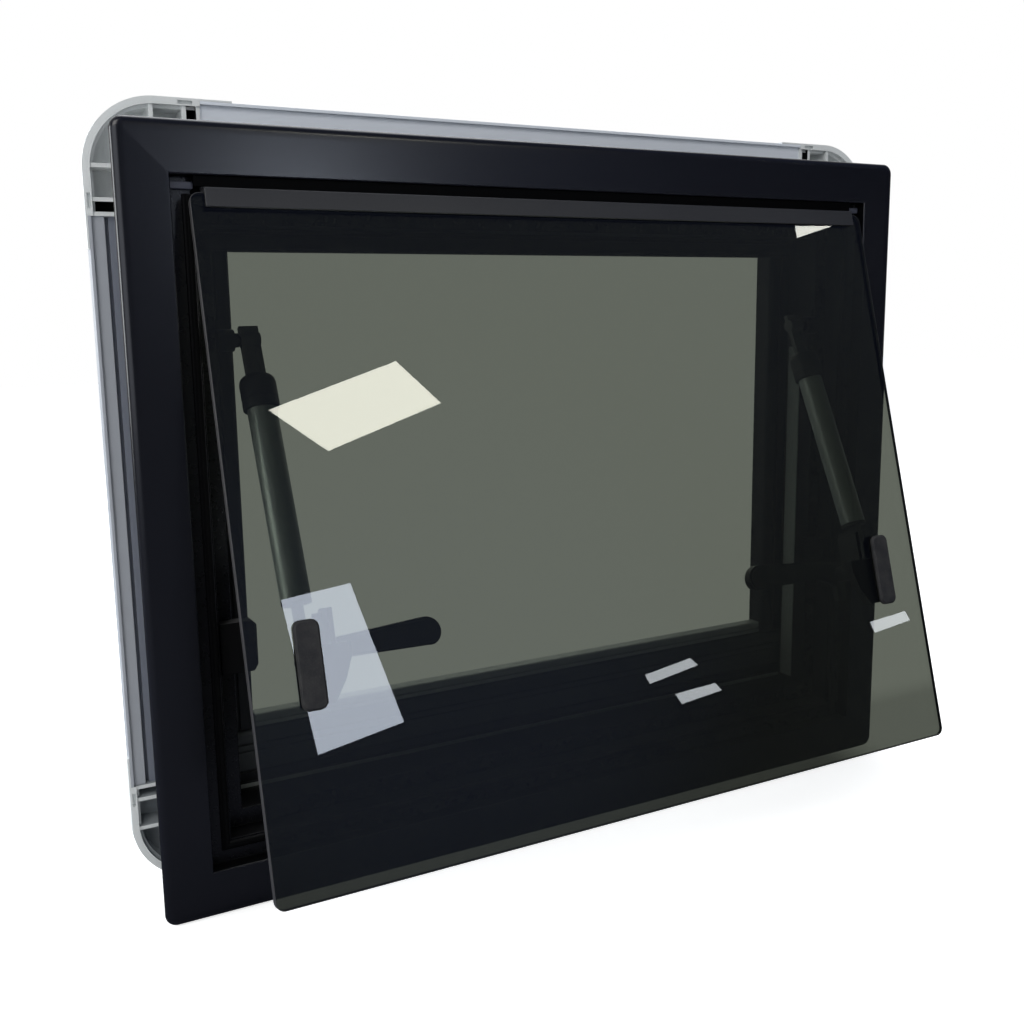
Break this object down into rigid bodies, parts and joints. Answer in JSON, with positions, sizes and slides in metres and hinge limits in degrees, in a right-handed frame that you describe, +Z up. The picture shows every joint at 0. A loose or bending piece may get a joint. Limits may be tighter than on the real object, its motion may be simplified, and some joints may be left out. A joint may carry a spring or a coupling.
{
  "type": "caravan window",
  "caption": "Push-out caravan window: tinted pane hinged in a black flanged frame, held open on telescopic stays, with an inner clamp frame.",
  "frame": {"origin": "back face of the outer flange, in the middle of its bottom rail", "axes": "+X to the right seen from outside, +Y into the room, +Z up; the outside of the window is on -Y"},
  "size_m": [0.633, 0.1904, 0.5191],
  "materials": {
    "black_profile": "satin black powder coat on aluminium",
    "seal_rubber": "matt black sealing rubber",
    "corner_plastic": "moulded light grey plastic",
    "grey_profile": "satin grey coat on aluminium",
    "inner_panel": "dark grey moulded plastic",
    "bar_grey": "anodised bar",
    "black_plastic": "black nylon with a fine texture",
    "tinted_glass": "grey-green tinted tempered glass",
    "rail_grey": "satin dark grey coat on aluminium",
    "rod_metal": "dark coated steel",
    "tube_grey": "satin grey anodised tube"
  },
  "bodies": {
    "frame": {"outer_top": "black_profile", "outer_bottom": "black_profile", "outer_left": "black_profile", "outer_right": "black_profile", "sash_seal": "seal_rubber", "hinge_track": "black_profile", "ring_corner_tl": "corner_plastic", "ring_corner_tr": "corner_plastic", "ring_corner_bl": "corner_plastic", "ring_corner_br": "corner_plastic", "ring_top": "grey_profile", "ring_bottom": "grey_profile", "ring_left": "grey_profile", "ring_right": "grey_profile", "panel_top": "inner_panel", "panel_bottom": "inner_panel", "panel_left": "inner_panel", "panel_right": "inner_panel", "blind_bar": "bar_grey", "keeper_left": "black_plastic", "keeper_right": "black_plastic", "bracket_left": "black_profile", "bracket_right": "black_profile"},
    "sash": {"glass_pane": "tinted_glass", "hinge_rail": "rail_grey", "pad_left": "black_plastic", "pad_right": "black_plastic", "latch_left": "black_plastic", "latch_right": "black_plastic"},
    "lever_left": {"lever_left": "black_plastic"},
    "lever_right": {"lever_right": "black_plastic"},
    "stay_rod_left": {"rod_left": "rod_metal"},
    "stay_rod_right": {"rod_right": "rod_metal"},
    "stay_tube_left": {"tube_left": "tube_grey", "collar_left": "black_plastic", "foot_left": "black_plastic"},
    "stay_tube_right": {"tube_right": "tube_grey", "collar_right": "black_plastic", "foot_right": "black_plastic"}
  },
  "joints": [
    {"name": "sash_hinge", "type": "hinge", "parent": "frame", "child": "sash", "pos_m": [0, 0.001, 0.44625], "axis": [-1, 0, 0], "range_deg": [-15.3, 24.7]},
    {"name": "lever_left_turn", "type": "hinge", "parent": "sash", "child": "lever_left", "pos_m": [-0.2165, -0.04458, 0.15951], "axis": [0, 0.9646, -0.2639], "range_deg": [0, 90]},
    {"name": "lever_right_turn", "type": "hinge", "parent": "sash", "child": "lever_right", "pos_m": [0.2165, -0.04458, 0.15951], "axis": [0, -0.9646, 0.2639], "range_deg": [0, 90]},
    {"name": "stay_pivot_left", "type": "hinge", "parent": "frame", "child": "stay_rod_left", "pos_m": [-0.226, 0.022, 0.35475], "axis": [-1, 0, 0], "range_deg": [-20.85, 33.53]},
    {"name": "stay_slide_left", "type": "slide", "parent": "stay_rod_left", "child": "stay_tube_left", "axis": [0, -0.4326, -0.9016], "range_m": [-0.01709, 0.02746]},
    {"name": "stay_pivot_right", "type": "hinge", "parent": "frame", "child": "stay_rod_right", "pos_m": [0.226, 0.022, 0.35475], "axis": [-1, 0, 0], "range_deg": [-20.85, 33.53]},
    {"name": "stay_slide_right", "type": "slide", "parent": "stay_rod_right", "child": "stay_tube_right", "axis": [0, -0.4326, -0.9016], "range_m": [-0.01709, 0.02746]}
  ],
  "couplings": [
    {"joint": "stay_pivot_left", "follows": "sash_hinge", "ratio": 1.3494},
    {"joint": "stay_slide_left", "follows": "sash_hinge", "m_per_rad": 0.06324},
    {"joint": "stay_pivot_right", "follows": "sash_hinge", "ratio": 1.3494},
    {"joint": "stay_slide_right", "follows": "sash_hinge", "m_per_rad": 0.06324}
  ]
}
